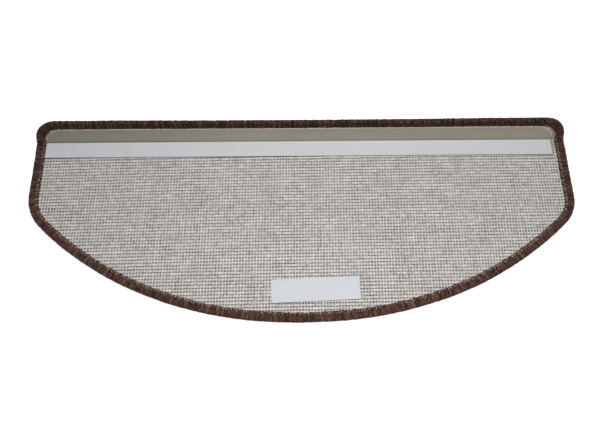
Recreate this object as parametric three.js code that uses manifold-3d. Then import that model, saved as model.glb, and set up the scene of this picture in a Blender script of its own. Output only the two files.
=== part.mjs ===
import * as THREE from 'three';
import { mergeVertices } from 'three/addons/utils/BufferGeometryUtils.js';
import Module from 'manifold-3d';

// A half-round stair tread mat that lies on its pile, with its backing up and its lip standing.
// Millimetres, +Z up. The curved edge faces -Y and the lip stands at +Y.
// Every layer is drawn flat first: x runs along the crease, s runs across the mat from the
// curved edge to the lip, and n is the height above the pile. foldUp() then turns the lip up.

// Outline, seen from above with the lip laid flat
const matWidth = 650;
const creaseToFront = 250;
const frontRadius = 517;
const frontHalfAngle = THREE.MathUtils.degToRad(6);
const leftCorner = { radius: 66, straightSide: 76, lipRadius: 28, lipTuck: 0.8 };
const rightCorner = { radius: 54, straightSide: 84, lipRadius: 27, lipTuck: 0.5 };

// Lip
const lipHeight = 34.2;
const lipAngle = THREE.MathUtils.degToRad(88);
const creaseRadius = 0.8;

// Layers, from the pile up, with a film of glue between them
const carpetThickness = 5;
const glueFilm = 0.1;
const backingThickness = 1.5;

// Woven backing: one rib for each weft yarn
const ribPitch = 4.4;
const ribCrest = 2.8;
const ribFlank = 0.35;
const ribDepth = 0.7;

// Overcast yarn binding, a C in section that closes round the edge of the mat
const bindingWidth = 10.6;
const bindingSideShare = 1.15;
const bindingLipShare = 0.9;
const bindingYarn = 1.1;
const bindingNose = 3.2;
const bindingNoseYarn = 2;
const bindingTaper = 3.5;
const bindingTaperEnd = 0.3;
const bindingClearance = 0.1;

// Angle profile along the crease
const profileWall = 1.2;
const profileFoot = 23.6;
const profileLeftGap = 0.3;
const profileRightGap = 2.5;
const profileTopGap = 0.2;
const profileRound = 17.5;

// Double-sided tapes, each still under its release liner
const tapeThickness = 0.5;
const linerThickness = 0.2;
const frontTapeBareFoot = 0.4;
const frontTapeCreaseGap = 0.4;
const frontTapeLeftGap = 0.2;
const frontTapeRightGap = 2.4;
const rearTapeLength = 100;
const rearTapeWidth = 30;
const rearTapeFromFront = 40;
const rearTapeOffset = 14.7;
const rearTapeSkew = THREE.MathUtils.degToRad(2.7);

// Fineness of the round stretches
const facetLength = 10;
const facetTurn = THREE.MathUtils.degToRad(11);
const bendFacets = 5;
const noseFacets = 8;

// Heights of the layers
const backingBottom = carpetThickness + glueFilm;
const backingTop = backingBottom + backingThickness;
const profileBottom = backingTop + glueFilm;
const profileTop = profileBottom + profileWall;
const bindingTop = backingTop + bindingClearance + bindingYarn;

// The bend: its centre lies above the crease, and its length is taken in the backing
const bendCentre = profileTop + creaseRadius;
const bendLength = lipAngle * (bendCentre - (backingBottom + backingTop) / 2);

// Places across the mat. The crease is where the two inner faces of the profile would meet.
const crease = creaseRadius * Math.tan(lipAngle / 2);
const frontEdge = crease - creaseToFront;
const lipEdge = bendLength + lipHeight - crease;

const wasm = await Module();
wasm.setup();

// A direction in the plane of the mat, with its angle counted from -s towards +x
function direction(angle) {
  return new THREE.Vector2(Math.sin(angle), -Math.cos(angle));
}

// How wide the binding is, as a share of its width at the curved edge: more on the sides and
// less along the top of the lip
function bindingShare(angle) {
  const degrees = THREE.MathUtils.radToDeg(angle);
  if (degrees < 60) return 1;
  if (degrees < 90) return THREE.MathUtils.mapLinear(degrees, 60, 90, 1, bindingSideShare);
  return THREE.MathUtils.mapLinear(degrees, 90, 180, bindingSideShare, bindingLipShare);
}

// Points along an arc of the outline, moved in by inset
function arcPoints({ centre, radius, from, to }, inset, withEnd) {
  const turn = to - from;
  const count = Math.ceil(Math.max((radius * turn) / facetLength, turn / facetTurn));
  const points = [];
  for (let i = 0; i < (withEnd ? count + 1 : count); i += 1) {
    const angle = from + (turn * i) / count;
    const spoke = direction(angle).multiplyScalar(radius - inset * bindingShare(angle));
    points.push(spoke.add(centre));
  }
  return points;
}

// The arc that joins the front arc to a corner arc, tangent to both
function shoulderArc(front, corner) {
  const outward = direction(front.to);
  const start = outward.clone().multiplyScalar(front.radius).add(front.centre);
  const span = start.clone().sub(corner.centre);
  const reach = corner.radius - span.dot(outward);
  const radius = (corner.radius ** 2 - span.lengthSq()) / (2 * reach);
  const centre = start.clone().sub(outward.multiplyScalar(radius));
  const ray = corner.centre.clone().sub(centre);
  return { centre, radius, from: front.to, to: Math.atan2(ray.x, -ray.y) };
}

// The right half of the outline, from the middle of the curved edge to the top of the lip
function halfOutline(shape, inset) {
  const halfWidth = matWidth / 2;
  const front = {
    centre: new THREE.Vector2(0, frontEdge + frontRadius),
    radius: frontRadius,
    from: 0,
    to: frontHalfAngle,
  };
  const corner = {
    centre: new THREE.Vector2(halfWidth - shape.radius, crease - shape.straightSide),
    radius: shape.radius,
    to: Math.PI / 2,
  };
  const shoulder = shoulderArc(front, corner);
  corner.from = shoulder.to;
  const lip = {
    centre: new THREE.Vector2(
      halfWidth - shape.lipTuck - shape.lipRadius,
      lipEdge - shape.lipRadius,
    ),
    radius: shape.lipRadius,
    from: Math.PI / 2,
    to: Math.PI,
  };
  return [
    ...arcPoints(front, inset, false),
    ...arcPoints(shoulder, inset, false),
    ...arcPoints(corner, inset, true),
    ...arcPoints(lip, inset, true),
  ];
}

// The whole outline, moved in by inset. Every inset gives the same number of points.
function outline(inset) {
  const right = halfOutline(rightCorner, inset);
  const left = halfOutline(leftCorner, inset).map((p) => new THREE.Vector2(-p.x, p.y));
  return [...right, ...left.reverse().slice(0, -1)];
}

// A solid with straight walls on an outline, from one height to another
function prism(points, low, high) {
  const shape = new THREE.Shape(points);
  const geometry = new THREE.ExtrudeGeometry(shape, { depth: high - low, bevelEnabled: false });
  return geometry.translate(0, 0, low);
}

function meshData(geometry) {
  const bare = geometry.clone();
  bare.deleteAttribute('normal');
  bare.deleteAttribute('uv');
  const merged = mergeVertices(bare, 1e-5);
  return { positions: merged.attributes.position.array, indices: merged.index.array };
}

function toManifold(geometry) {
  const { positions, indices } = meshData(geometry);
  return new wasm.Manifold(new wasm.Mesh({
    numProp: 3,
    vertProperties: new Float32Array(positions),
    triVerts: new Uint32Array(indices),
  }));
}

// Points and faces as plain lists, for cutting and folding
function listed({ positions, indices }) {
  const points = [];
  const faces = [];
  for (let i = 0; i < positions.length; i += 3) points.push([...positions.slice(i, i + 3)]);
  for (let i = 0; i < indices.length; i += 3) faces.push([...indices.slice(i, i + 3)]);
  return { points, faces };
}

function listedManifold(solid) {
  const { vertProperties, triVerts } = solid.getMesh();
  return listed({ positions: vertProperties, indices: triVerts });
}

// Divides the faces that cross the line s = level, so that the sheet can bend there
function divideAt({ points, faces }, level) {
  const onLine = 1e-4;
  const offset = (i) => (Math.abs(points[i][1] - level) < onLine ? 0 : points[i][1] - level);
  const crossings = new Map();
  const crossing = (i, j) => {
    const [a, b] = i < j ? [i, j] : [j, i];
    const key = `${a},${b}`;
    if (!crossings.has(key)) {
      const share = offset(a) / (offset(a) - offset(b));
      const [x, , n] = points[a].map((value, k) => value + share * (points[b][k] - value));
      crossings.set(key, points.push([x, level, n]) - 1);
    }
    return crossings.get(key);
  };
  const divided = faces.flatMap((face) => {
    const offsets = face.map(offset);
    if (Math.min(...offsets) >= 0 || Math.max(...offsets) <= 0) return [face];
    return [-1, 1].flatMap((side) => {
      const kept = face.flatMap((i, k) => {
        const j = face[(k + 1) % 3];
        const corner = side * offset(i) >= 0 ? [i] : [];
        return offset(i) * offset(j) < 0 ? [...corner, crossing(i, j)] : corner;
      });
      return kept.slice(2).map((last, k) => [kept[0], kept[k + 1], last]);
    });
  });
  return { points, faces: divided };
}

// Where a point of the flat drawing comes to lie once the lip is turned up
function foldUp([x, s, n]) {
  const inBend = THREE.MathUtils.clamp(s, 0, bendLength);
  const turn = lipAngle * (inBend / bendLength);
  const past = s - inBend;
  const radius = bendCentre - n;
  return [
    x,
    past * Math.cos(turn) + radius * Math.sin(turn),
    bendCentre + past * Math.sin(turn) - radius * Math.cos(turn),
  ];
}

// The folded geometry of a flat solid
function folded(solid) {
  let cut = solid;
  for (let i = 0; i <= bendFacets; i += 1) cut = divideAt(cut, (bendLength * i) / bendFacets);
  const geometry = new THREE.BufferGeometry();
  const position = new Float32Array(cut.points.map(foldUp).flat());
  geometry.setAttribute('position', new THREE.BufferAttribute(position, 3));
  geometry.setIndex(cut.faces.flat());
  return geometry.toNonIndexed();
}

// Pile and primary backing. The pile is pressed thinner where the binding closes round it.
function tuftedCarpet() {
  const edge = outline(bindingNoseYarn + bindingClearance);
  const open = outline(bindingWidth + bindingClearance);
  const pressed = toManifold(prism(edge, bindingYarn + bindingClearance, carpetThickness));
  return folded(listedManifold(pressed.add(toManifold(prism(open, 0, carpetThickness)))));
}

// The section of the woven backing across its ribs, as one long comb
function ribbedSection() {
  const low = backingTop - ribDepth;
  const shape = new THREE.Shape();
  shape.moveTo(frontEdge, backingBottom);
  shape.lineTo(lipEdge, backingBottom);
  shape.lineTo(lipEdge, low);
  for (let s = lipEdge; s > frontEdge + ribPitch; s -= ribPitch) {
    const groove = ribPitch - ribCrest - 2 * ribFlank;
    const flank = s - groove;
    shape.lineTo(flank, low);
    shape.lineTo(flank - ribFlank, backingTop);
    shape.lineTo(flank - ribFlank - ribCrest, backingTop);
    shape.lineTo(s - ribPitch, low);
  }
  shape.lineTo(frontEdge, low);
  return shape;
}

function wovenBacking() {
  const along = new THREE.ExtrudeGeometry(ribbedSection(), { depth: matWidth, bevelEnabled: false });
  const toMat = new THREE.Matrix4().makeBasis(
    new THREE.Vector3(0, 1, 0),
    new THREE.Vector3(0, 0, 1),
    new THREE.Vector3(1, 0, 0),
  );
  along.translate(0, 0, -matWidth / 2).applyMatrix4(toMat);
  const sheet = prism(outline(bindingNoseYarn + bindingClearance), backingBottom, backingTop);
  return folded(listedManifold(toManifold(along).intersect(toManifold(sheet))));
}

// The C section of the binding, as distance in from the edge and height
function bindingSection() {
  const half = bindingTop / 2;
  const slotTop = backingTop + bindingClearance;
  const nose = [];
  for (let i = 0; i <= noseFacets; i += 1) {
    const angle = Math.PI / 2 + (Math.PI * i) / noseFacets;
    nose.push([bindingNose * (1 + Math.cos(angle)), half * (1 + Math.sin(angle))]);
  }
  return [
    ...nose,
    [bindingWidth, 0],
    [bindingWidth, bindingYarn],
    [bindingNoseYarn, bindingYarn],
    [bindingNoseYarn, slotTop],
    [bindingWidth, slotTop],
    [bindingWidth, slotTop + bindingTaperEnd],
    [bindingWidth - bindingTaper, bindingTop],
  ];
}

// The section carried round the whole outline
function edgeBinding() {
  const section = bindingSection();
  const rails = section.map(([inset]) => outline(inset));
  const stations = rails[0].length;
  const points = [];
  const faces = [];
  for (let i = 0; i < stations; i += 1) {
    section.forEach(([, n], j) => points.push([rails[j][i].x, rails[j][i].y, n]));
    const here = i * section.length;
    const next = ((i + 1) % stations) * section.length;
    for (let j = 0; j < section.length; j += 1) {
      const k = (j + 1) % section.length;
      faces.push([here + j, here + k, next + j], [here + k, next + k, next + j]);
    }
  }
  return folded({ points, faces });
}

// Ends of the profile along the crease
const sideBinding = bindingWidth * bindingSideShare;
const profileLeft = leftCorner.lipTuck + sideBinding + profileLeftGap - matWidth / 2;
const profileRight = matWidth / 2 - rightCorner.lipTuck - sideBinding - profileRightGap;

// One strip of extruded plastic: a foot on the backing and an upright with rounded top corners
function angleProfile() {
  const foot = crease - profileFoot;
  const top = lipEdge - bindingWidth * bindingLipShare - profileTopGap;
  const rightArc = {
    centre: new THREE.Vector2(profileRight - profileRound, top - profileRound),
    radius: profileRound,
    from: Math.PI / 2,
    to: Math.PI,
  };
  const leftArc = {
    centre: new THREE.Vector2(profileLeft + profileRound, top - profileRound),
    radius: profileRound,
    from: Math.PI,
    to: 1.5 * Math.PI,
  };
  const points = [
    new THREE.Vector2(profileLeft, foot),
    new THREE.Vector2(profileRight, foot),
    ...arcPoints(rightArc, 0, true),
    ...arcPoints(leftArc, 0, true),
  ];
  return folded(listed(meshData(prism(points, profileBottom, profileTop))));
}

// A layer of the tape that runs along the foot of the profile
function frontStrip(low, thickness) {
  const left = profileLeft + frontTapeLeftGap;
  const right = profileRight - frontTapeRightGap;
  const front = crease - profileFoot + frontTapeBareFoot;
  const back = -frontTapeCreaseGap;
  const points = [[left, front], [right, front], [right, back], [left, back]];
  return prism(points.map(([x, s]) => new THREE.Vector2(x, s)), low, low + thickness);
}

// A layer of the short tape near the curved edge
function rearPatch(thickness) {
  return new THREE.BoxGeometry(rearTapeLength, rearTapeWidth, thickness);
}

function placeRear(mesh, low, thickness) {
  mesh.position.set(rearTapeOffset, frontEdge + rearTapeFromFront, low + thickness / 2);
  mesh.rotation.z = rearTapeSkew;
  return mesh;
}

function named(name, geometry, material) {
  geometry.computeVertexNormals();
  const mesh = new THREE.Mesh(geometry, material);
  mesh.name = name;
  return mesh;
}

function finish(color, roughness) {
  return new THREE.MeshStandardMaterial({ color, roughness, metalness: 0, flatShading: true });
}

const pileYarn = finish('#5a4439', 0.95);
const jute = finish('#b9b4aa', 0.9);
const bindingThread = finish('#4c332c', 0.9);
const beigePlastic = finish('#b7ae9c', 0.45);
const adhesive = finish('#e4e0d2', 0.6);
const linerPaper = finish('#dfe2e8', 0.4);

const mat = new THREE.Group();
mat.add(named('tufted_carpet', tuftedCarpet(), pileYarn));
mat.add(named('woven_backing', wovenBacking(), jute));
mat.add(named('edge_binding', edgeBinding(), bindingThread));
mat.add(named('angle_profile', angleProfile(), beigePlastic));

const frontLinerLow = profileTop + tapeThickness;
mat.add(named('front_tape', frontStrip(profileTop, tapeThickness), adhesive));
mat.add(named('front_liner', frontStrip(frontLinerLow, linerThickness), linerPaper));

const rearLinerLow = backingTop + tapeThickness;
const rearTape = named('rear_tape', rearPatch(tapeThickness), adhesive);
const rearLiner = named('rear_liner', rearPatch(linerThickness), linerPaper);
mat.add(placeRear(rearTape, backingTop, tapeThickness));
mat.add(placeRear(rearLiner, rearLinerLow, linerThickness));

// The origin lies on the floor, at the middle of the mat's width and depth
const extent = new THREE.Box3().setFromObject(mat);
mat.position.y = -(extent.min.y + extent.max.y) / 2;

export default mat;
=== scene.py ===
import math
import random

import bmesh
import bpy
from mathutils import Matrix, Vector, noise
from mathutils.kdtree import KDTree


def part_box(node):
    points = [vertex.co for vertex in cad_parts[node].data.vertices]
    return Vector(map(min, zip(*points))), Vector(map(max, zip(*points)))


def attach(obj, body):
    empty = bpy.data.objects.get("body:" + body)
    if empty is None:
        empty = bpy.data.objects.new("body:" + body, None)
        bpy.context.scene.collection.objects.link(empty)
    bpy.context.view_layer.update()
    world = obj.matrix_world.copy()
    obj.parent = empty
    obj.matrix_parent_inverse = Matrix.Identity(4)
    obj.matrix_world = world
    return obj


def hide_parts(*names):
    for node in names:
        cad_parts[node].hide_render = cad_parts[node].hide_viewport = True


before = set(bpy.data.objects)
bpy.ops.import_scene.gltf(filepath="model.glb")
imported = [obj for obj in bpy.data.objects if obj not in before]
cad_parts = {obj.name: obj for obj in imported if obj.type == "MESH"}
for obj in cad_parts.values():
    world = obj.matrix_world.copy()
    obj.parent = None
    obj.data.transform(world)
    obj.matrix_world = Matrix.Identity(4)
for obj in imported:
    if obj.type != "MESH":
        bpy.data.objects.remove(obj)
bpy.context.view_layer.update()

scene = bpy.context.scene
scene.view_settings.view_transform = "Standard"
random.seed(7)

# The mat is drawn flat in millimetres first, as in the part's source: x along the crease,
# s across from the curved edge to the lip, n up from the pile. foldUp() turns the lip up.
mat = {
    "width": 650,
    "creaseToFront": 250,
    "frontRadius": 517,
    "frontHalfAngle": math.radians(6),
    "leftCorner": {"radius": 66, "straightSide": 76, "lipRadius": 28, "lipTuck": 0.3},
    "rightCorner": {"radius": 54, "straightSide": 84, "lipRadius": 27, "lipTuck": 0.5},
    "lipHeight": 34.2,
    "lipAngle": math.radians(88),
    "lipSag": 0.04,          # how much lower the lip is where it sags, as a share
    "sagMiddle": 20,
    "sagHalfWidth": 210,
    "lipWaist": 1.4,         # how far the lip's ends draw in, half way up
    "creaseRadius": 0.8,
    "carpetTop": 5.0,
    "backingBottom": 5.1,
    "backingTop": 6.6,
    "profileBottom": 6.7,
    "profileTop": 7.9,
    "rimStep": 4,            # from corner to corner, where a sheet is cut along the rim
    "bendSteps": 8,          # in how many steps such a sheet bends
}
bendCentre = mat["profileTop"] + mat["creaseRadius"]
bendLength = mat["lipAngle"] * (bendCentre - (mat["backingBottom"] + mat["backingTop"]) / 2)
crease = mat["creaseRadius"] * math.tan(mat["lipAngle"] / 2)
frontEdge = crease - mat["creaseToFront"]
lipEdge = bendLength + mat["lipHeight"] - crease
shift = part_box("edge_binding")[0].y * 1000 - frontEdge  # the CAD model's move to its own middle


def foldUp(flat):
    x, s, n = flat
    inBend = min(max(s, 0), bendLength)
    turn = mat["lipAngle"] * inBend / bendLength
    past = s - inBend
    if past > 0:
        waist = mat["lipWaist"] * math.sin(math.pi * min(past / mat["lipHeight"], 1))
        fromSag = (x - mat["sagMiddle"]) / mat["sagHalfWidth"]
        past *= 1 - mat["lipSag"] * max(1 - fromSag ** 2, 0)
        x -= waist * x * abs(x) / (mat["width"] / 2) ** 2
    radius = bendCentre - n
    y = past * math.cos(turn) + radius * math.sin(turn) + shift
    z = bendCentre + past * math.sin(turn) - radius * math.cos(turn)
    return Vector((x, y, z)) / 1000


# Camera: tilt, focal length and place worked out from the photograph
camera = {
    "place": (-9.226, -829.243, 1076.82),   # mm from the crease, on the floor
    "right": (0.999953, -0.009698, 0.000275),
    "up": (0.007886, 0.829000, 0.559193),
    "lens": 65.85,
    "sensor": 36,
    "clip": (0.05, 50),
}


def addCamera():
    data = bpy.data.cameras.new("photo_camera")
    data.sensor_width = camera["sensor"]
    data.lens = camera["lens"]
    data.clip_start, data.clip_end = camera["clip"]
    eye = bpy.data.objects.new("photo_camera", data)
    right, up = Vector(camera["right"]), Vector(camera["up"])
    turn = Matrix((right, up, right.cross(up))).transposed().to_4x4()
    place = Vector(camera["place"]) + Vector((0, crease + shift, 0))
    eye.matrix_world = Matrix.Translation(place / 1000) @ turn
    scene.collection.objects.link(eye)
    scene.camera = eye


addCamera()
print("camera placed")


# The rim: arcs that run counter-clockwise from the middle of the curved edge, and the straight
# stretches between them. Angles count from -s towards +x.
def direction(angle):
    return Vector((math.sin(angle), -math.cos(angle)))


def halfRim(corner):
    halfWidth = mat["width"] / 2
    radius, turn = mat["frontRadius"], mat["frontHalfAngle"]
    frontCentre = Vector((0, frontEdge + radius))
    cornerCentre = Vector((halfWidth - corner["radius"], crease - corner["straightSide"]))
    lipCentre = Vector((halfWidth - corner["lipTuck"], lipEdge))
    lipCentre -= Vector((1, 1)) * corner["lipRadius"]
    start = frontCentre + direction(turn) * radius
    span = start - cornerCentre
    reach = corner["radius"] - span.dot(direction(turn))
    shoulderRadius = (corner["radius"] ** 2 - span.length_squared) / (2 * reach)
    shoulderCentre = start - direction(turn) * shoulderRadius
    ray = cornerCentre - shoulderCentre
    meeting = math.atan2(ray.x, -ray.y)
    return [
        (frontCentre, radius, 0, turn),
        (shoulderCentre, shoulderRadius, turn, meeting),
        (cornerCentre, corner["radius"], meeting, math.pi / 2),
        (lipCentre, corner["lipRadius"], math.pi / 2, math.pi),
    ]


def wholeRim():
    arcs = halfRim(mat["rightCorner"])
    for centre, radius, low, high in reversed(halfRim(mat["leftCorner"])):
        flipped = Vector((-centre.x, centre.y))
        arcs.append((flipped, radius, 2 * math.pi - high, 2 * math.pi - low))
    stretches = []
    for arc, after in zip(arcs, arcs[1:] + arcs[:1]):
        centre, radius, low, high = arc
        stretches.append({"length": radius * (high - low), "arc": arc})
        end = centre + direction(high) * radius
        start = after[0] + direction(after[2]) * after[1]
        if (start - end).length > 0.01:  # two arcs that don't meet have a line between them
            stretches.append({"length": (start - end).length, "line": (end, start, high)})
    return stretches


rim = wholeRim()
rimLength = sum(stretch["length"] for stretch in rim)


# Point of the rim at a distance from the middle of the curved edge, the way out, and its angle
def rimAt(distance):
    distance %= rimLength
    for stretch in rim:
        if distance <= stretch["length"]:
            break
        distance -= stretch["length"]
    share = min(distance / stretch["length"], 1)
    if "arc" in stretch:
        centre, radius, low, high = stretch["arc"]
        angle = low + (high - low) * share
        return centre + direction(angle) * radius, direction(angle), angle
    start, end, angle = stretch["line"]
    return start.lerp(end, share), direction(angle), angle


def outline(inset):
    count = round(rimLength / mat["rimStep"])
    points = []
    for i in range(count):
        point, outward, angle = rimAt(rimLength * i / count)
        points.append(point - outward * inset)
    return points


# Low and high end of a closed outline along one axis, where the other axis is at a level
def spanAt(points, axis, level):
    along = 1 - axis
    ends = []
    for a, b in zip(points, points[1:] + points[:1]):
        if (a[axis] - level) * (b[axis] - level) <= 0 and a[axis] != b[axis]:
            share = (level - a[axis]) / (b[axis] - a[axis])
            ends.append(a[along] + share * (b[along] - a[along]))
    return (min(ends), max(ends)) if ends else None


def bendLevels(count):
    return [bendLength * i / count for i in range(count + 1)]


# A closed flat sheet on an outline, cut where it will bend
def flatSheet(points, low, high):
    bm = bmesh.new()
    face = bm.faces.new([bm.verts.new((p[0], p[1], low)) for p in points])
    raised = bmesh.ops.extrude_face_region(bm, geom=[face])["geom"]
    top = [v for v in raised if isinstance(v, bmesh.types.BMVert)]
    bmesh.ops.translate(bm, verts=top, vec=(0, 0, high - low))
    for level in bendLevels(mat["bendSteps"]):
        everything = bm.verts[:] + bm.edges[:] + bm.faces[:]
        bmesh.ops.bisect_plane(bm, geom=everything, plane_co=(0, level, 0), plane_no=(0, 1, 0))
    return bm


# A straight tube along x with a section of unit radius, its first corner at the bottom
def straightTube(sides, start, length, steps):
    bm = bmesh.new()
    bmesh.ops.create_circle(bm, cap_ends=True, segments=sides, radius=1)
    upright = Matrix.Rotation(math.pi / 2, 4, "Y")
    bmesh.ops.transform(bm, matrix=Matrix.Translation((start, 0, 0)) @ upright, verts=bm.verts[:])
    lowest = min(bm.verts, key=lambda v: v.co.z).co
    tilt = -math.pi / 2 - math.atan2(lowest.z, lowest.y)
    bmesh.ops.rotate(bm, cent=(0, 0, 0), matrix=Matrix.Rotation(tilt, 3, "X"), verts=bm.verts[:])
    spun = bmesh.ops.spin(
        bm, geom=bm.verts[:] + bm.edges[:], cent=(0, 0, 0), axis=(1, 0, 0),
        dvec=(length / steps, 0, 0), angle=0, steps=steps, use_duplicate=False)
    last = [e for e in spun["geom_last"] if isinstance(e, bmesh.types.BMEdge)]
    bmesh.ops.edgeloop_fill(bm, edges=last)
    return bm


# Adds a small mesh to a large one and uses the small one up
def append(whole, small):
    passing = bpy.data.meshes.new("passing")
    small.to_mesh(passing)
    small.free()
    whole.from_mesh(passing)
    bpy.data.meshes.remove(passing)


# "tone" varies a colour from point to point, and "strand" is a place measured along a yarn
def addPiece(bm, name, material, nodes, tones=None, strands=None, smooth=True):
    bmesh.ops.recalc_face_normals(bm, faces=bm.faces[:])
    for face in bm.faces:
        face.smooth = smooth
    mesh = bpy.data.meshes.new(name)
    bm.to_mesh(mesh)
    bm.free()
    if tones:
        mesh.attributes.new("tone", "FLOAT", "POINT").data.foreach_set("value", tones)
    if strands:
        mesh.attributes.new("strand", "FLOAT_VECTOR", "POINT").data.foreach_set("vector", strands)
    mesh.materials.append(material)
    piece = bpy.data.objects.new(name, mesh)
    scene.collection.objects.link(piece)
    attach(piece, "root")
    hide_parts(*nodes)


# A share that climbs from 0 to 1 between two values, and one that is 1 in the middle of a bell
def climb(value, low, high):
    return min(max((value - low) / (high - low), 0), 1)


def bell(value, middle, spread):
    return math.exp(-((value - middle) / spread) ** 2)


# Slow changes along a yarn. Each is a size, a number that sets it apart, and a length.
def waver(waves, distance, yarn=0):
    total = 0
    for size, apart, length in waves:
        line = (yarn + apart) * 3.7  # far enough from the next yarn's line to differ from it
        total += size * noise.noise(Vector((distance / length, line, 0.5)))
    return total


noiseLevels = {"loopHeight": 3, "cloth": 4, "pileTone": 9}  # apart, so that no two patterns match


# Materials
def linear(colour):
    channels = [int(colour[i:i + 2], 16) / 255 for i in (0, 2, 4)]
    return [c / 12.92 if c <= 0.04045 else ((c + 0.055) / 1.055) ** 2.4 for c in channels] + [1]


def addNode(tree, kind, settings, inputs):
    node = tree.nodes.new(kind)
    for key, value in settings.items():
        setattr(node, key, value)
    for key, value in inputs.items():
        if isinstance(value, bpy.types.NodeSocket):
            tree.links.new(value, node.inputs[key])
        else:
            node.inputs[key].default_value = value
    return node


def startMaterial(name, constants):
    material = bpy.data.materials.new(name)
    material.use_nodes = True
    tree = material.node_tree
    shader = tree.nodes["Principled BSDF"]
    for key, value in constants.items():
        shader.inputs[key].default_value = value
    return material, tree, shader


perMm = 1000  # a noise of this scale repeats about every millimetre


# Polypropylene yarn, spun: a matt grey-beige band of loose fibres, patchy along its length
def spunYarn():
    material, tree, shader = startMaterial(
        "polypropylene_spun_yarn", {"Roughness": 0.9, "Sheen Weight": 0.15})
    place = addNode(tree, "ShaderNodeTexCoord", {}, {}).outputs["Object"]
    tone = addNode(tree, "ShaderNodeAttribute", {"attribute_name": "tone"}, {}).outputs["Fac"]
    stretched = addNode(tree, "ShaderNodeMapping", {}, {"Vector": place, "Scale": (0.3, 1, 1)})
    fibres = addNode(tree, "ShaderNodeTexNoise", {}, {
        "Vector": stretched.outputs[0], "Scale": perMm / 0.7, "Detail": 3})
    colour = addNode(tree, "ShaderNodeMix", {"data_type": "RGBA"}, {
        0: tone, 6: linear("bfb9b4"), 7: linear("fffaf6")})
    shade = addNode(tree, "ShaderNodeMapRange", {}, {
        "Value": fibres.outputs["Fac"], "From Min": 0.3, "From Max": 0.7,
        "To Min": 0.84, "To Max": 1.06})
    grained = addNode(tree, "ShaderNodeMix", {"data_type": "RGBA", "blend_type": "MULTIPLY"}, {
        0: 1.0, 6: colour.outputs[2], 7: shade.outputs[0]})
    bump = addNode(tree, "ShaderNodeBump", {}, {
        "Height": fibres.outputs["Fac"], "Strength": 0.4, "Distance": 0.0003})
    tree.links.new(grained.outputs[2], shader.inputs["Base Color"])
    tree.links.new(bump.outputs[0], shader.inputs["Normal"])
    return material


# Polypropylene tape, slit from film and woven: flat pale ribbons with a low gloss
def slitTape():
    material, tree, shader = startMaterial(
        "polypropylene_slit_tape", {"Roughness": 0.6, "IOR": 1.49})
    place = addNode(tree, "ShaderNodeTexCoord", {}, {}).outputs["Object"]
    tone = addNode(tree, "ShaderNodeAttribute", {"attribute_name": "tone"}, {}).outputs["Fac"]
    colour = addNode(tree, "ShaderNodeMix", {"data_type": "RGBA"}, {
        0: tone, 6: linear("bbb6b0"), 7: linear("f4efea")})
    stretched = addNode(tree, "ShaderNodeMapping", {}, {"Vector": place, "Scale": (1, 0.2, 1)})
    splits = addNode(tree, "ShaderNodeTexNoise", {}, {
        "Vector": stretched.outputs[0], "Scale": perMm / 0.35, "Detail": 2})
    bump = addNode(tree, "ShaderNodeBump", {}, {
        "Height": splits.outputs["Fac"], "Strength": 0.4, "Distance": 0.0001})
    tree.links.new(colour.outputs[2], shader.inputs["Base Color"])
    tree.links.new(bump.outputs[0], shader.inputs["Normal"])
    return material


# Latex precoat, rolled on the tufts: a dull grey-brown ground, thick in some places, whose
# darkest patches are partly painted shade for the holes between the yarns
def latexPrecoat():
    material, tree, shader = startMaterial(
        "latex_precoat", {"Roughness": 0.75, "IOR": 1.52})
    place = addNode(tree, "ShaderNodeTexCoord", {}, {}).outputs["Object"]
    patches = addNode(tree, "ShaderNodeTexNoise", {}, {
        "Vector": place, "Scale": perMm / 22, "Detail": 3, "Roughness": 0.6})
    lumps = addNode(tree, "ShaderNodeTexNoise", {}, {
        "Vector": place, "Scale": perMm / 2.4, "Detail": 3, "Roughness": 0.65})
    share = addNode(tree, "ShaderNodeMath", {"operation": "MULTIPLY"}, {
        0: patches.outputs["Fac"], 1: 0.3})
    both = addNode(tree, "ShaderNodeMath", {"operation": "MULTIPLY_ADD"}, {
        0: lumps.outputs["Fac"], 1: 0.7, 2: share.outputs[0]})
    # the dark end of the ramp is partly painted shade, for the holes between the yarns
    ramp = addNode(tree, "ShaderNodeValToRGB", {}, {"Fac": both.outputs[0]})
    ramp.color_ramp.elements[0].position = 0.4
    ramp.color_ramp.elements[0].color = linear("3f3b36")
    ramp.color_ramp.elements[1].position = 0.62
    ramp.color_ramp.elements[1].color = linear("aca79e")
    bump = addNode(tree, "ShaderNodeBump", {}, {
        "Height": lumps.outputs["Fac"], "Strength": 0.8, "Distance": 0.0006})
    tree.links.new(ramp.outputs["Color"], shader.inputs["Base Color"])
    tree.links.new(bump.outputs[0], shader.inputs["Normal"])
    return material


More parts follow.
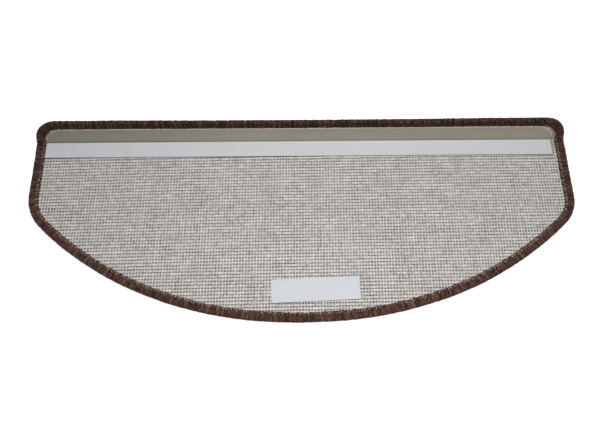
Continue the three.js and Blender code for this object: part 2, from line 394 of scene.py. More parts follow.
# Polyamide yarn, twisted from brown strands: a matt melange of dark and reddish streaks with
# pale flecks. The strands are drawn over 1 mm thick, as finer ones don't show. Where it is
# streaked they follow the yarn's own turns.
def melangeYarn(name, dark, middle, light, fleck, streaked):
    material, tree, shader = startMaterial(
        name, {"Roughness": 0.9, "Specular IOR Level": 0.2, "Sheen Weight": 0.03})
    if streaked:
        strand = addNode(tree, "ShaderNodeAttribute", {"attribute_name": "strand"}, {})
        place = addNode(tree, "ShaderNodeMapping", {}, {
            "Vector": strand.outputs["Vector"], "Scale": (1, 0.42, 1)}).outputs[0]
    else:
        place = addNode(tree, "ShaderNodeTexCoord", {}, {}).outputs["Object"]
    tone = addNode(tree, "ShaderNodeAttribute", {"attribute_name": "tone"}, {}).outputs["Fac"]
    strands = addNode(tree, "ShaderNodeTexNoise", {}, {
        "Vector": place, "Scale": perMm / 1.4, "Detail": 3, "Roughness": 0.65})
    flecks = addNode(tree, "ShaderNodeTexNoise", {}, {
        "Vector": place, "Scale": perMm / 2.6, "Detail": 2})
    mixed = addNode(tree, "ShaderNodeMath", {"operation": "MULTIPLY_ADD"}, {
        0: strands.outputs["Fac"], 1: 0.85, 2: -0.15})
    level = addNode(tree, "ShaderNodeMath", {"operation": "MULTIPLY_ADD"}, {
        0: tone, 1: 0.45, 2: mixed.outputs[0]})
    ramp = addNode(tree, "ShaderNodeValToRGB", {}, {"Fac": level.outputs[0]})
    ramp.color_ramp.elements[0].position = 0.28
    ramp.color_ramp.elements[0].color = linear(dark)
    ramp.color_ramp.elements[1].position = 0.78
    ramp.color_ramp.elements[1].color = linear(light)
    ramp.color_ramp.elements.new(0.52).color = linear(middle)
    spot = addNode(tree, "ShaderNodeMapRange", {}, {
        "Value": flecks.outputs["Fac"], "From Min": 0.56, "From Max": 0.74, "To Max": 0.5})
    flecked = addNode(tree, "ShaderNodeMix", {"data_type": "RGBA"}, {
        0: spot.outputs[0], 6: ramp.outputs["Color"], 7: linear(fleck)})
    bump = addNode(tree, "ShaderNodeBump", {}, {
        "Height": strands.outputs["Fac"], "Strength": 0.7, "Distance": 0.0004})
    tree.links.new(flecked.outputs[2], shader.inputs["Base Color"])
    tree.links.new(bump.outputs[0], shader.inputs["Normal"])
    return material


# Polyester thread, spun: the pale chain that locks the overcast yarn along its inner edge
def sewingThread():
    material, tree, shader = startMaterial(
        "polyester_spun_thread", {"Roughness": 0.7, "Sheen Weight": 0.1})
    place = addNode(tree, "ShaderNodeTexCoord", {}, {}).outputs["Object"]
    tone = addNode(tree, "ShaderNodeAttribute", {"attribute_name": "tone"}, {}).outputs["Fac"]
    twist = addNode(tree, "ShaderNodeTexNoise", {}, {
        "Vector": place, "Scale": perMm / 0.5, "Detail": 2})
    colour = addNode(tree, "ShaderNodeMix", {"data_type": "RGBA"}, {
        0: tone, 6: linear("5c473e"), 7: linear("dcd0c6")})
    bump = addNode(tree, "ShaderNodeBump", {}, {
        "Height": twist.outputs["Fac"], "Strength": 0.5, "Distance": 0.0001})
    tree.links.new(colour.outputs[2], shader.inputs["Base Color"])
    tree.links.new(bump.outputs[0], shader.inputs["Normal"])
    return material


# Rigid PVC, extruded: a satin beige with faint lines from the die along its length. Painted
# shade greys it towards its left end, and a painted highlight makes it pale along the upright's
# edges
def extrudedPvc():
    material, tree, shader = startMaterial("rigid_pvc_extruded", {"IOR": 1.54})
    place = addNode(tree, "ShaderNodeTexCoord", {}, {}).outputs["Object"]
    drawn = addNode(tree, "ShaderNodeMapping", {}, {"Vector": place, "Scale": (0.02, 1, 1)})
    dieLines = addNode(tree, "ShaderNodeTexNoise", {}, {
        "Vector": drawn.outputs[0], "Scale": perMm / 1.2, "Detail": 3})
    haze = addNode(tree, "ShaderNodeTexNoise", {}, {
        "Vector": place, "Scale": perMm / 45, "Detail": 2})
    colour = addNode(tree, "ShaderNodeMix", {"data_type": "RGBA"}, {
        0: haze.outputs["Fac"], 6: linear("a29d8e"), 7: linear("aea999")})
    along = addNode(tree, "ShaderNodeSeparateXYZ", {}, {"Vector": place})
    # painted shade: the colour greys towards the left end, where less light falls
    leftEndPaintedShade = addNode(tree, "ShaderNodeMapRange", {}, {
        "Value": along.outputs["X"], "From Min": -0.06, "From Max": -0.31})
    leftEndShaded = addNode(tree, "ShaderNodeMix", {"data_type": "RGBA"}, {
        0: leftEndPaintedShade.outputs[0], 6: colour.outputs[2], 7: linear("959185")})
    tone = addNode(tree, "ShaderNodeAttribute", {"attribute_name": "tone"}, {}).outputs["Fac"]
    # painted highlight: where tone is 1, along the upright's edges, the colour goes pale
    rimHighlighted = addNode(tree, "ShaderNodeMix", {"data_type": "RGBA"}, {
        0: tone, 6: leftEndShaded.outputs[2], 7: linear("f0e4d8")})
    roughness = addNode(tree, "ShaderNodeMapRange", {}, {
        "Value": haze.outputs["Fac"], "To Min": 0.38, "To Max": 0.52})
    bump = addNode(tree, "ShaderNodeBump", {}, {
        "Height": dieLines.outputs["Fac"], "Strength": 0.25, "Distance": 0.0001})
    tree.links.new(rimHighlighted.outputs[2], shader.inputs["Base Color"])
    tree.links.new(roughness.outputs[0], shader.inputs["Roughness"])
    tree.links.new(bump.outputs[0], shader.inputs["Normal"])
    return material


# Release liner paper, siliconised: smooth, cool white, with a soft sheen and faint waves
def linerPaper():
    material, tree, shader = startMaterial(
        "release_liner_paper", {"IOR": 1.45, "Coat Weight": 0.15, "Coat Roughness": 0.35})
    place = addNode(tree, "ShaderNodeTexCoord", {}, {}).outputs["Object"]
    pulp = addNode(tree, "ShaderNodeTexNoise", {}, {
        "Vector": place, "Scale": perMm / 14, "Detail": 4, "Roughness": 0.55})
    colour = addNode(tree, "ShaderNodeMix", {"data_type": "RGBA"}, {
        0: pulp.outputs["Fac"], 6: linear("d8dbe2"), 7: linear("e0e3e7")})
    roughness = addNode(tree, "ShaderNodeMapRange", {}, {
        "Value": pulp.outputs["Fac"], "To Min": 0.4, "To Max": 0.5})
    bump = addNode(tree, "ShaderNodeBump", {}, {
        "Height": pulp.outputs["Fac"], "Strength": 0.2, "Distance": 0.0002})
    tree.links.new(colour.outputs[2], shader.inputs["Base Color"])
    tree.links.new(roughness.outputs[0], shader.inputs["Roughness"])
    tree.links.new(bump.outputs[0], shader.inputs["Normal"])
    return material


# Acrylic adhesive, coated on both sides of a tape: its edges are painted a mottled grey, as
# painted shade for the dark lines along the liners
def acrylicAdhesive():
    material, tree, shader = startMaterial(
        "acrylic_adhesive_coated", {"IOR": 1.47, "Subsurface Weight": 0.1})
    place = addNode(tree, "ShaderNodeTexCoord", {}, {}).outputs["Object"]
    adhesiveMottle = addNode(tree, "ShaderNodeTexNoise", {}, {
        "Vector": place, "Scale": perMm / 0.9, "Detail": 2})
    # painted shade: a grey that darkens the tape edges beside the liners
    colour = addNode(tree, "ShaderNodeMix", {"data_type": "RGBA"}, {
        0: adhesiveMottle.outputs["Fac"], 6: linear("8f897c"), 7: linear("aaa496")})
    roughness = addNode(tree, "ShaderNodeMapRange", {}, {
        "Value": adhesiveMottle.outputs["Fac"], "To Min": 0.35, "To Max": 0.6})
    tree.links.new(colour.outputs[2], shader.inputs["Base Color"])
    tree.links.new(roughness.outputs[0], shader.inputs["Roughness"])
    return material


weftMaterial = spunYarn()
warpMaterial = slitTape()
latexMaterial = latexPrecoat()
bindingMaterial = melangeYarn(
    "polyamide_melange_yarn_overcast", "24140f", "553a33", "8f6c5e", "7d6b60", True)
threadMaterial = sewingThread()
pileMaterial = melangeYarn(
    "polyamide_pile_tufted", "3a261f", "5e4135", "80604f", "9a8272", False)
pvcMaterial = extrudedPvc()
linerMaterial = linerPaper()
adhesiveMaterial = acrylicAdhesive()
print("materials made")

# Woven backing: thick spun weft yarns lie along x, and thin tapes cross over them
weave = {
    "rows": (-60, 20),       # more than fit: those off the mat are left out
    "rowPitch": 4.37,
    "rowStart": -23.3,       # where row 0 crosses the middle of the mat
    "rowSkew": 0.0124,       # the cloth lies a little askew and bowed on the carpet
    "rowBow": -1.66e-5,
    "columnPitch": 3.432,
    "columnStart": 1.0,
    "columnLean": 0.0105,
    "columnBow": -1.42e-5,
    "edgeInset": 4,
    "shortest": 8,           # a yarn that would be shorter is left out
    "groundInset": 2.3,
    "groundTop": 5.55,
    "weftSides": 5,
    "weftHalfWidth": 1.46,
    "weftWidthWaves": [(0.25, 300, 5)],
    "weftHalfHeight": 0.44,
    "weftMiddle": 6.1,
    "weftWander": [(0.3, 0, 16), (0.15, 90, 4.5)],
    "weftThinned": 0.25,     # how much thinner a yarn is where a tape presses it flat
    "weftSpread": 0.1,       # how much wider
    "weftPaintedGapShade": 0.2,     # and how much paler, and half way to the next tape as much darker, painted shade of the gaps
    "weftEndInset": 1.5,
    "weftShade": (0.46, 0.6),
    "weftPatches": [(0.2, 500, 9), (0.6, 700, 2.2)],
    "paleEdge": 12,          # how far in from the binding the yarns are paler
    "edgePale": 0.3,
    "warpHalfWidth": 0.58,
    "warpWidth": (0.92, 1.1),
    "warpWidthWaves": [(0.35, 900, 7)],
    "warpHalfHeight": 0.13,
    "warpMiddle": 6.05,
    "warpRise": 0.36,
    "warpWander": [(0.28, 0, 18), (0.168, 40, 5)],
    "warpShade": (0.52, 0.7),
    "warpPatches": [(0.55, 200, 3)],
    "clothPatch": 26,        # size of the patches where all tapes are paler or dimmer
    "clothContrast": 0.3,
    "squareReach": 1.41,     # from a square's middle to its corner, in half sides
}


# How far a row lies off straight, at a distance from the middle of the mat
def rowLift(x):
    return weave["rowSkew"] * x + weave["rowBow"] * x * x


# Where a column of tape lies, at a distance across the mat
def columnPlace(column, s):
    start = weave["columnStart"] + column * weave["columnPitch"]
    return start + weave["columnBow"] * start * start + weave["columnLean"] * s


# A yarn has a ring of corners under each tape and half way between two tapes
def weftRow(row, s, low, high):
    middle = columnPlace(0, s)
    halfPitch = weave["columnPitch"] / 2
    first = math.ceil((low + weave["weftEndInset"] - middle) / halfPitch)
    steps = max(int((high - middle) / halfPitch) - first, 2)
    bm = straightTube(weave["weftSides"], first, steps, steps)
    shade = random.uniform(*weave["weftShade"])
    tones = []
    for v in bm.verts:
        station, across, rise = v.co
        pressed = (round(station) + 1) % 2  # 1 under a tape, 0 half way to the next
        x = columnPlace(station / 2, s)
        halfWidth = weave["weftHalfWidth"] * (1 + weave["weftSpread"] * (pressed - 0.5))
        halfWidth *= 1 + waver(weave["weftWidthWaves"], x, row)
        wander = waver(weave["weftWander"], x, row)
        halfHeight = weave["weftHalfHeight"] * (1 - weave["weftThinned"] * pressed)
        lie = weave["weftMiddle"] + rise * halfHeight
        v.co = foldUp((x, s + rowLift(x) + across * halfWidth + wander, lie))
        tone = shade + waver(weave["weftPatches"], x, row)
        tone += weave["edgePale"] * max(1 - min(x - low, high - x) / weave["paleEdge"], 0)
        # painted shade: darker half way between two tapes, paler under a tape
        tones.append(tone + weave["weftPaintedGapShade"] * (pressed - 0.5))
    return bm, tones


# A tape rises over each row and dips between two rows
def warpColumn(column, start, low, high):
    halfPitch = weave["rowPitch"] / 2
    firstRow = weave["rowStart"] + rowLift(start)
    low = firstRow + math.ceil((low - firstRow) / halfPitch) * halfPitch
    steps = max(int((high - low) / halfPitch), 2)
    bm = straightTube(4, low, steps * halfPitch, steps)  # a square, turned below to lie flat
    shade = random.uniform(*weave["warpShade"])
    halfWidth = weave["warpHalfWidth"] * random.uniform(*weave["warpWidth"])
    halfWidth *= weave["squareReach"]
    tones = []
    for v in bm.verts:
        s, across, rise = v.co
        x = columnPlace(column, s)
        corner = Vector((across, rise))
        corner.rotate(Matrix.Rotation(math.pi / 4, 2))
        width = halfWidth * (1 + waver(weave["warpWidthWaves"], s, column))
        over = math.cos(2 * math.pi * (s - firstRow) / weave["rowPitch"])
        lie = weave["warpMiddle"] + weave["warpRise"] * over
        lie += corner.y * weave["warpHalfHeight"] * weave["squareReach"]
        wander = waver(weave["warpWander"], s, column)
        v.co = foldUp((x + corner.x * width + wander, s, lie))
        patch = noise.noise(Vector((x, s, noiseLevels["cloth"])) / weave["clothPatch"])
        tone = shade + weave["clothContrast"] * patch
        tones.append(tone + waver(weave["warpPatches"], s, column))
    return bm, tones


def wovenBacking():
    ground = flatSheet(outline(weave["groundInset"]), mat["backingBottom"], weave["groundTop"])
    for v in ground.verts:
        v.co = foldUp(v.co)
    edge = outline(weave["edgeInset"])
    rowEdge = [Vector((p.x, p.y - rowLift(p.x))) for p in edge]
    columnEdge = [Vector((p.x - weave["columnLean"] * p.y, p.y)) for p in edge]
    yarns = {name: (bmesh.new(), []) for name in ("weft_yarns", "lip_weft_yarns", "warp_tapes")}
    for row in range(*weave["rows"]):
        s = weave["rowStart"] + row * weave["rowPitch"]
        span = spanAt(rowEdge, 1, s)
        if span and span[1] - span[0] > weave["shortest"]:
            bm, tones = weftRow(row, s, *span)
            whole, allTones = yarns["weft_yarns" if s < 0 else "lip_weft_yarns"]
            append(whole, bm)
            allTones += tones
    columns = int(mat["width"] / 2 / weave["columnPitch"])
    for column in range(-columns, columns + 1):
        start = columnPlace(column, 0)
        span = spanAt(columnEdge, 0, start)
        if span and span[1] - span[0] > weave["shortest"]:
            bm, tones = warpColumn(column, start, *span)
            whole, allTones = yarns["warp_tapes"]
            append(whole, bm)
            allTones += tones
    node = ["woven_backing"]
    addPiece(ground, "latex_ground", latexMaterial, node, smooth=False)
    for name, (whole, tones) in yarns.items():
        material = warpMaterial if name == "warp_tapes" else weftMaterial
        addPiece(whole, name, material, node, tones)


wovenBacking()
print("woven backing made")

# Overcast edge: turns of yarn side by side, each a C round the edge of the mat. Degrees count
# along the rim, from the middle of the curved edge to 180 at the middle of the lip.
binding = {
    "width": 10.6,           # at the curved edge
    "sideShare": 1.15,       # wider on the sides than at the curved edge
    "sideDegrees": (60, 90),
    "lipShare": 0.96,        # narrower along the top of the lip
    "cornerShare": 0.12,     # and added at the lip's corners
    "cornerDegrees": (130, 22),
    "pitch": 2.2,
    "placeSpread": 0.07,
    "sides": 6,
    "halfWidth": 1.5,
    "halfThickness": 0.62,
    "endTaper": 0.6,
    "slant": (0.9, 0.15),
    "proud": 0.12,           # how much some turns stand out from their neighbours
    "fatness": (0.92, 1.1),
    "reachSpread": 0.045,    # how much further in some turns reach
    "reachFrom": 5,
    "edgeWaves": [(0.35, 60, 38)],
    "lowest": 0.02,
    "shade": (0.53, 0.13),
    "patches": [(0.35, 1500, 1.7857)],      # their length is in steps of the path
    "sideDark": 0.06,        # the yarn is darker on the sides, and most on the lip, where it is painted shade
    "sideDarkDegrees": (45, 90),
    "lipPaintedShade": 0.15,
    "lipPaintedShadeDegrees": (90, 140),
    # Each of these is an amount, a point of the path, and how many points it spreads over
    "corePaintedShade": (0.3, 3.8, 1.3),    # painted shade: the turns on the lip are darkest in their middle
    "foldPale": (0.3, 9, 1.7),      # and paler on the far side of the fold on top of it
    "rimPaintedShade": (0.35, 8.3, 1.1),    # painted shade low on the outside of the curved edge
    "groovePaintedShade": 0.26,      # painted shade on the sides of each turn, where the groove between turns is
    "endPale": 0.12,
    "endSteps": 2,
    "strandTwist": 0.35,
    "strandsApart": 5,       # between the strands of two turns, so that they differ
    "path": [  # middle of the yarn: distance in from the edge, and height
        (11.0, 6.2), (10.3, 6.85), (8.8, 7.12), (6.2, 7.2), (3.6, 7.2),
        (1.85, 6.7), (0.95, 5.6), (0.62, 3.95), (0.95, 2.25), (1.85, 1.1),
        (3.6, 0.64), (6.4, 0.64), (9.2, 0.68), (10.4, 0.9), (11.0, 1.5)],
}


def degreesFromFront(angle):
    degrees = math.degrees(angle)
    return min(degrees, 360 - degrees)


# How wide the binding is at an angle of the rim, as a share of its width at the curved edge
def bindingShare(angle):
    degrees = degreesFromFront(angle)
    low, high = binding["sideDegrees"]
    side, lip = binding["sideShare"], binding["lipShare"]
    if degrees < high:
        return 1 + (side - 1) * climb(degrees, low, high)
    share = side + (lip - side) * climb(degrees, high, 180)
    return share + binding["cornerShare"] * bell(degrees, *binding["cornerDegrees"])


# How dark a turn is painted at an angle of the rim, with painted shade on the lip, and how far it
# is a turn of the lip
def turnShade(angle):
    degrees = degreesFromFront(angle)
    side = climb(degrees, *binding["sideDarkDegrees"])
    lip = climb(degrees, *binding["lipPaintedShadeDegrees"])
    return binding["sideDark"] * side + binding["lipPaintedShade"] * lip, lip


def yarnTurn(number, distance):
    path = [Vector(point) for point in binding["path"]]
    last = len(path) - 1
    lengths = [0]
    for a, b in zip(path, path[1:]):
        lengths.append(lengths[-1] + (b - a).length)
    bm = straightTube(binding["sides"], 0, last, last)
    dark, lip = turnShade(rimAt(distance)[2])
    shade = random.gauss(*binding["shade"]) - dark
    proud = random.gauss(0, binding["proud"])
    fat = random.uniform(*binding["fatness"])
    lean = random.gauss(*binding["slant"])
    reach = 1 + random.gauss(0, binding["reachSpread"])
    reachFrom = binding["reachFrom"]
    edgeWave = waver(binding["edgeWaves"], distance)
    tones, strands = [], []
    for v in bm.verts:
        station, across, rise = v.co
        i = min(max(round(station), 0), last)
        inset, height = path[i]
        tangent = (path[min(i + 1, last)] - path[max(i - 1, 0)]).normalized()
        away = Vector((tangent.y, -tangent.x))  # out of the C
        taper = binding["endTaper"] if i in (0, last) else 1
        lift = rise * binding["halfThickness"] * fat * taper + proud
        inset = inset if inset < reachFrom else reachFrom + (inset - reachFrom) * reach
        inset += away.x * lift
        height = max(height + away.y * lift, binding["lowest"])
        along = distance + across * binding["halfWidth"] * fat * taper + lean * (i / last - 0.5)
        point, outward, angle = rimAt(along)
        flat = point - outward * (inset * bindingShare(angle) + edgeWave)
        v.co = foldUp((flat.x, flat.y, height))
        tone = shade + waver(binding["patches"], station, number)
        # painted shade in the middle of the lip's turns and low on the outside of the curved edge
        for key, share in (("corePaintedShade", -lip), ("foldPale", lip), ("rimPaintedShade", lip - 1)):
            amount, middle, spread = binding[key]
            tone += share * amount * bell(i, middle, spread)
        # painted shade on the sides of each turn
        tone -= binding["groovePaintedShade"] * abs(across)
        tones.append(tone + binding["endPale"] * max(binding["endSteps"] - i, 0))
        strand = distance + across * binding["halfWidth"] + binding["strandTwist"] * lengths[i]
        strands += [strand / perMm, lengths[i] / perMm, binding["strandsApart"] * number / perMm]
    return bm, tones, strands


def overcastEdge():
    whole, tones, strands = bmesh.new(), [], []
    count = round(rimLength / binding["pitch"])
    for number in range(count):
        distance = rimLength * number / count + random.gauss(0, binding["placeSpread"])
        bm, turnTones, turnStrands = yarnTurn(number, distance)
        append(whole, bm)
        tones += turnTones
        strands += turnStrands
    addPiece(whole, "binding_wraps", bindingMaterial, ["edge_binding"], tones,
             strands)


overcastEdge()
print("edge overcast")

# Chain stitch: short pale stitches, in a zigzag over the inner edge of the binding. A path's
# points are distance past that edge, and height.
chain = {
    "pitch": 2.9,
    "placeSpread": 0.15,
    "sides": 5,
    "halfWidth": 0.5,
    "halfThickness": 0.3,
    "endTaper": 0.6,
    "lean": 1.1,
    "stretch": (0.8, 1.2),
    "innerPale": 0.12,       # how much paler a stitch gets from point to point, going in
    "tread": {"path": [(-3.5, 7.8), (-2.7, 8.2), (-1.8, 8.2), (-1.0, 7.8)], "shade": (0.4, 0.4)},
    "lip": {"path": [(-1.5, 8.1), (-0.7, 8.3), (0.2, 8.35), (1.0, 8.2)], "shade": (0.62, 0.16)},
}


def chainStitches():
    whole, tones = bmesh.new(), []
    count = 2 * round(rimLength / chain["pitch"] / 2)
    for number in range(count):
        middle = rimLength * number / count + random.gauss(0, chain["placeSpread"])
        stitch = chain["lip" if rimAt(middle)[0].y > bendLength else "tread"]
        path = stitch["path"]
        last = len(path) - 1
        lean = chain["lean"] * (1 if number % 2 else -1)
        shade = random.gauss(*stitch["shade"])
        stretch = random.uniform(*chain["stretch"])
        bm = straightTube(chain["sides"], 0, last, last)
        for v in bm.verts:
            station, across, rise = v.co
            i = min(max(round(station), 0), last)
            taper = chain["endTaper"] if i in (0, last) else 1
            past, height = path[i]
            along = middle + lean * (i / last - 0.5) + across * chain["halfWidth"] * taper
            point, outward, angle = rimAt(along)
            inset = binding["width"] * bindingShare(angle) + past * stretch
            flat = point - outward * inset
            v.co = foldUp((flat.x, flat.y, height + rise * chain["halfThickness"] * taper))
            tones.append(shade + chain["innerPale"] * (i - len(path) / 2))
        append(whole, bm)
    addPiece(whole, "chain_stitches", threadMaterial, ["edge_binding"], tones)


chainStitches()
print("chain stitched")

# Pile: loops in rows, each a low bump with two grid steps to a loop
pile = {
    "step": 1.6,
    "bendRows": 9,
    "edgeInset": 5,
    "loopHeight": 1.0,
    "unevenness": 0.22,
    "unevenLength": 2.1,
    "lowest": 0.05,
    "pressedInset": 12.5,    # inside this distance from the edge the binding presses the pile
    "pressedSlope": 2,
    "pressedHeight": 1.35,
    "rimPoints": 1000,       # points of the rim from which that distance is measured
    "patch": 3.1,
}


def tuftedPile():
    step = pile["step"]
    bend = bendLevels(pile["bendRows"])
    flatRows = int((-frontEdge - pile["edgeInset"]) / step)
    lipRows = int((lipEdge - pile["edgeInset"] - bendLength) / step)
    levels = [-step * i for i in range(flatRows, 0, -1)] + bend
    levels += [bendLength + step * i for i in range(1, lipRows + 1)]
    columns = 2 * int((mat["width"] / 2 - pile["edgeInset"]) / step)
    bm = bmesh.new()
    bmesh.ops.create_grid(bm, x_segments=columns, y_segments=len(levels) - 1, size=1)
    edge = KDTree(pile["rimPoints"])
    for i in range(pile["rimPoints"]):
        point = rimAt(rimLength * i / pile["rimPoints"])[0]
        edge.insert((point.x, point.y, 0), i)
    edge.balance()
    border = outline(pile["edgeInset"])
    spans = [spanAt(border, 1, level) for level in levels]
    outside = []
    for v in bm.verts:
        column = round((v.co.x + 1) / 2 * columns)
        row = round((v.co.y + 1) / 2 * (len(levels) - 1))
        x, s = (column - columns / 2) * step, levels[row]
        away = edge.find((x, s, 0))[2]
        loop = 0.5 * (column % 2) + 0.5 * (row % 2)
        height = pile["loopHeight"] * (1 - loop)
        spot = Vector((x, s, noiseLevels["loopHeight"]))
        height += pile["unevenness"] * noise.noise(spot / pile["unevenLength"])
        pressed = climb(pile["pressedInset"] - away, 0, pile["pressedSlope"])
        height += pressed * (pile["pressedHeight"] - height)
        v.co = (x, s, max(height, pile["lowest"]))
        span = spans[row]
        if not span or not span[0] <= x <= span[1]:
            outside.append(v)
    bmesh.ops.delete(bm, geom=outside, context="VERTS")
    loose = [v for v in bm.verts if not v.link_faces]
    bmesh.ops.delete(bm, geom=loose, context="VERTS")
    border = [e for e in bm.edges if e.is_boundary]
    walls = bmesh.ops.extrude_edge_only(bm, edges=border)["geom"]
    for v in walls:
        if isinstance(v, bmesh.types.BMVert):
            v.co.z = mat["carpetTop"]
    # Only the cap is cut where it bends, as the loops bend at their own rows
    rimEdges = [e for e in walls if isinstance(e, bmesh.types.BMEdge) and e.is_boundary]
    for face in bmesh.ops.edgeloop_fill(bm, edges=rimEdges)["faces"]:
        face.material_index = 1
    for level in bend:
        cap = [f for f in bm.faces if f.material_index == 1]
        parts = set(cap)
        for face in cap:
            parts.update(face.verts[:] + face.edges[:])
        bmesh.ops.bisect_plane(
            bm, geom=list(parts), dist=0.001, plane_co=(0, level, 0), plane_no=(0, 1, 0))
    for face in bm.faces:
        face.material_index = 0
    tones = []
    for v in bm.verts:
        spot = Vector((v.co.x, v.co.y, noiseLevels["pileTone"]))
        tones.append(0.5 + 0.5 * noise.noise(spot / pile["patch"]))
        v.co = foldUp(v.co)
    addPiece(bm, "tufted_pile", pileMaterial, ["tufted_carpet"], tones)


tuftedPile()
print("pile made")

# Angle profile: a foot on the backing and an upright with rounded top corners
profile = {
    "left": -311.71,
    "right": 308.9,
    "foot": 22.7,            # a little short of the tape, which hangs over it
    "topInset": 10.5,
    "round": 20,
    "roundStep": 6,          # degrees from corner to corner of its outline
    "edgeBevel": 0.3,
    "bevelFrom": 0.9,        # radians between two faces whose edge is bevelled
    "grooveDepth": 0.65,     # a bend line runs along the inside of the corner
    "paintedHighlightRim": 1.2,           # the upright's edges and a rim this wide round its face are painted pale, a painted highlight
    "paintedHighlightRimFrom": 3,         # past the bend
}


def angleProfile():
    top = lipEdge - profile["topInset"]
    foot = crease - profile["foot"]
    points = [(profile["left"], foot), (profile["right"], foot)]
    radius = profile["round"]
    for end, side, start in (("right", 1, 90), ("left", -1, 180)):
        centre = Vector((profile[end] - side * radius, top - radius))
        for degrees in range(0, 91, profile["roundStep"]):
            points.append(centre + direction(math.radians(start + degrees)) * radius)
    bm = flatSheet(points, mat["profileBottom"], mat["profileTop"])
    toneLayer = bm.verts.layers.float.new("tone")
    justBelow = mat["profileTop"] - 0.01
    faces = [f for f in bm.faces if f.calc_center_median().z > justBelow]
    bmesh.ops.inset_region(bm, faces=faces, thickness=profile["paintedHighlightRim"], use_even_offset=True)
    bm.normal_update()
    for v in bm.verts:  # while the sheet is flat, its walls are the faces that stand up
        onWall = any(abs(face.normal.z) < 0.5 for face in v.link_faces)
        # painted highlight on the upright's edges and the rim round its face
        paintedHighlight = onWall and v.co.y > bendLength + profile["paintedHighlightRimFrom"]
        v[toneLayer] = 1.0 if paintedHighlight else 0.0
    for v in bm.verts:
        if v.co.z > justBelow and 0 < v.co.y < bendLength:
            v.co.z -= profile["grooveDepth"] * math.sin(math.pi * v.co.y / bendLength)
        v.co = foldUp(v.co)
    bmesh.ops.recalc_face_normals(bm, faces=bm.faces[:])
    sharp = [e for e in bm.edges if e.calc_face_angle(0) > profile["bevelFrom"]]
    bmesh.ops.bevel(
        bm, geom=sharp, affect="EDGES", offset=profile["edgeBevel"] / 1000, segments=2,
        profile=0.5, material=-1, clamp_overlap=True)
    addPiece(bm, "profile_strip", pvcMaterial, ["angle_profile"], smooth=False)


angleProfile()
print("profile made")

# Release liners: thin paper that lies a little wavy on its tape
liners = {
    "thickness": 0.2,
    "step": 5,
    "wave": 0.12,
    "waveLength": 60,
    "waveWidth": 18,
    "front": {"low": (-311.51, crease - 23.2), "high": (306.9, -0.4), "height": 8.4},
    "rear": {"length": 100, "width": 30, "fromFront": 40, "offset": 14.7, "skew": 2.7,
             "height": 7.1},
}


def linerSheet(name, length, width, height, place, node):
    step = liners["step"]
    bm = bmesh.new()
    bmesh.ops.create_grid(
        bm, x_segments=round(length / step), y_segments=max(round(width / step), 2), size=0.5)
    bmesh.ops.scale(bm, vec=(length, width, 1), verts=bm.verts[:])
    bmesh.ops.transform(bm, matrix=place, verts=bm.verts[:])
    for v in bm.verts:
        spot = Vector((v.co.x / liners["waveLength"], v.co.y / liners["waveWidth"], height))
        v.co.z = height + liners["wave"] * (0.5 + 0.5 * noise.noise(spot))
    bmesh.ops.solidify(bm, geom=bm.faces[:], thickness=-liners["thickness"])
    for v in bm.verts:
        v.co = foldUp(v.co)
    addPiece(bm, name, linerMaterial, [node], smooth=False)


def releaseLiners():
    front, rear = liners["front"], liners["rear"]
    low, high = Vector(front["low"]), Vector(front["high"])
    middle = (low + high) / 2
    place = Matrix.Translation((middle.x, middle.y, 0))
    linerSheet("front_release_liner", high.x - low.x, high.y - low.y, front["height"], place,
               "front_liner")
    place = Matrix.Translation((rear["offset"], frontEdge + rear["fromFront"], 0))
    place @= Matrix.Rotation(math.radians(rear["skew"]), 4, "Z")
    linerSheet("rear_release_liner", rear["length"], rear["width"], rear["height"], place,
               "rear_liner")


releaseLiners()
print("liners made")

# Tapes: the CAD model's own shapes, in the adhesive's grey, which is painted shade
for name in ("front_tape", "rear_tape"):
    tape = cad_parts[name]
    tape.data.materials.clear()
    tape.data.materials.append(adhesiveMaterial)
print("tapes finished")

# Stage: a pale floor that the camera sees as white, with the mat's shadow left on it
stage = {
    "floorSize": 8,
    "floorColour": "f4f4f2",
    "floorGlow": 0.75,
    "worldStrength": 0.2,
    "lampPlace": (0.06, -0.15, 0.7),
    "lampSize": 0.55,
    "lampPower": 4,
}


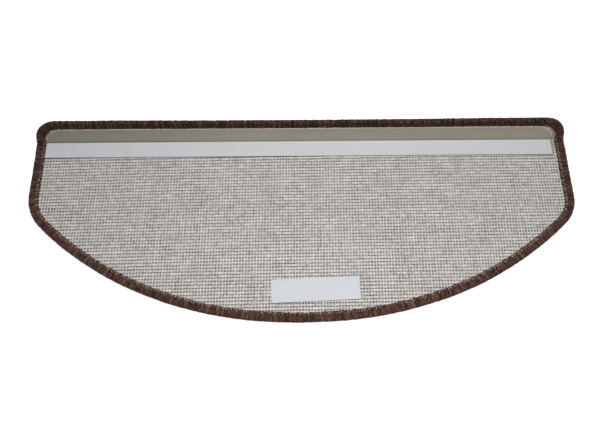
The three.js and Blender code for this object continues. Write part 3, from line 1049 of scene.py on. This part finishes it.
# 1 where the camera sees a surface, also in a mirror or through glass, and else 0
def seenDirectly(tree):
    rays = addNode(tree, "ShaderNodeLightPath", {}, {})
    seen = rays.outputs["Is Camera Ray"]
    for name in ("Is Glossy Ray", "Is Transmission Ray"):
        seen = addNode(tree, "ShaderNodeMath", {"operation": "MAXIMUM"}, {
            0: seen, 1: rays.outputs[name]}).outputs[0]
    return seen


def addFloor():
    bm = bmesh.new()
    bmesh.ops.create_grid(bm, x_segments=1, y_segments=1, size=stage["floorSize"] / 2)
    mesh = bpy.data.meshes.new("floor")
    bm.to_mesh(mesh)
    bm.free()
    material, tree, shader = startMaterial("studio_floor_paper", {"Roughness": 0.9})
    shader.inputs["Base Color"].default_value = linear(stage["floorColour"])
    strength = addNode(tree, "ShaderNodeMath", {"operation": "MULTIPLY"}, {
        0: seenDirectly(tree), 1: stage["floorGlow"]})
    glow = addNode(tree, "ShaderNodeEmission", {}, {"Strength": strength.outputs[0]})
    both = addNode(tree, "ShaderNodeAddShader", {}, {0: shader.outputs[0], 1: glow.outputs[0]})
    tree.links.new(both.outputs[0], tree.nodes["Material Output"].inputs["Surface"])
    mesh.materials.append(material)
    floor = bpy.data.objects.new("floor", mesh)
    scene.collection.objects.link(floor)


def addWorld():
    world = bpy.data.worlds.new("studio")
    world.use_nodes = True
    scene.world = world
    tree = world.node_tree
    strength = addNode(tree, "ShaderNodeMapRange", {}, {
        "Value": seenDirectly(tree), "To Min": stage["worldStrength"], "To Max": 1.0})
    background = tree.nodes["Background"]
    background.inputs["Color"].default_value = (1, 1, 1, 1)
    tree.links.new(strength.outputs[0], background.inputs["Strength"])


def addLamp():
    data = bpy.data.lights.new("soft_box", "AREA")
    data.shape = "SQUARE"
    data.size = stage["lampSize"]
    data.energy = stage["lampPower"]
    lamp = bpy.data.objects.new("soft_box", data)
    lamp.location = stage["lampPlace"]
    lamp.rotation_euler = (-lamp.location).to_track_quat("-Z", "Y").to_euler()
    scene.collection.objects.link(lamp)


addFloor()
addWorld()
addLamp()
print("stage set")
